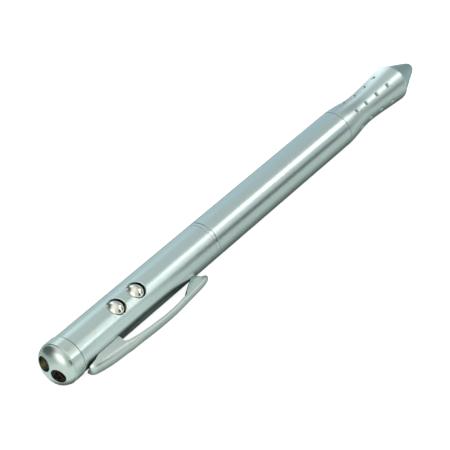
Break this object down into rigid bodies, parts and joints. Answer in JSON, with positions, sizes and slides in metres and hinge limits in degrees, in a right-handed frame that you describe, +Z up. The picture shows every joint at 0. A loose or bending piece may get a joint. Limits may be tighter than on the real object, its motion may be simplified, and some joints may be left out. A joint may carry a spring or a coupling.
{
  "type": "laser pointer pen",
  "caption": "Slim metal pen with a laser and a small lamp in its rounded head, press buttons, a pocket clip, and a twist lower half that drives the ballpoint out of a dimpled grip.",
  "frame": {"origin": "centre of the bounding box's bottom face, on the surface that the pen lies on", "axes": "+X along the pen from its head to its writing end, +Z up with the pen lying on its head collar, its flared grip and its clip, the clip towards -Y"},
  "size_m": [0.1464, 0.0136, 0.0107],
  "materials": {
    "satin_metal": "satin",
    "satin_head": "satin",
    "satin_clip": "satin",
    "bright_metal": "polished",
    "grey_metal": "matte",
    "chrome": "polished",
    "brass": "plain",
    "nickel": "nickel plated",
    "steel": "plain",
    "black_plastic": "matte",
    "white_plastic": "matte",
    "red_plastic": "matte",
    "board_green": "gloss",
    "clear_resin": "clear",
    "lens_glass": "clear"
  },
  "bodies": {
    "upper_half": {"head_cap": "satin_head", "emitter_holder": "black_plastic", "led_lamp": "clear_resin", "laser_housing": "brass", "laser_lens": "lens_glass", "laser_diode": "nickel", "circuit_board": "board_green", "board_carrier": "black_plastic", "laser_switch": "black_plastic", "lamp_switch": "black_plastic", "upper_barrel": "satin_metal", "pocket_clip": "satin_clip", "clip_anchor": "steel", "battery_spring": "nickel", "battery_sleeve": "white_plastic", "button_cell_1": "nickel", "button_cell_2": "nickel", "button_cell_3": "nickel", "battery_contact": "nickel", "centre_coupler": "bright_metal", "friction_ring": "white_plastic", "cam_sleeve": "brass"},
    "lower_half": {"lower_barrel": "satin_metal", "guide_tube": "nickel", "grip_section": "satin_metal", "nose_cone": "grey_metal"},
    "refill": {"refill_carrier": "white_plastic", "drive_pin": "steel", "refill_tube": "brass", "refill_tip": "steel"},
    "laser_press": {"laser_button": "chrome", "laser_plunger": "red_plastic"},
    "lamp_press": {"lamp_button": "chrome", "lamp_plunger": "red_plastic"}
  },
  "joints": [
    {"name": "barrel_twist", "type": "hinge", "parent": "upper_half", "child": "lower_half", "pos_m": [-0.01795, 0.00159, 0.0052], "axis": [1, 0, 0], "range_deg": [0, 180]},
    {"name": "refill_slide", "type": "slide", "parent": "lower_half", "child": "refill", "axis": [1, 0, 0], "range_m": [0, 0.0045]},
    {"name": "laser_button_press", "type": "slide", "parent": "upper_half", "child": "laser_press", "axis": [0, 0.4339, -0.901], "range_m": [0, 0.0004], "stiffness_N_per_m": 1000},
    {"name": "lamp_button_press", "type": "slide", "parent": "upper_half", "child": "lamp_press", "axis": [0, 0.4339, -0.901], "range_m": [0, 0.0004], "stiffness_N_per_m": 1000}
  ],
  "couplings": [
    {"joint": "refill_slide", "follows": "barrel_twist", "m_per_rad": 0.0014324}
  ]
}
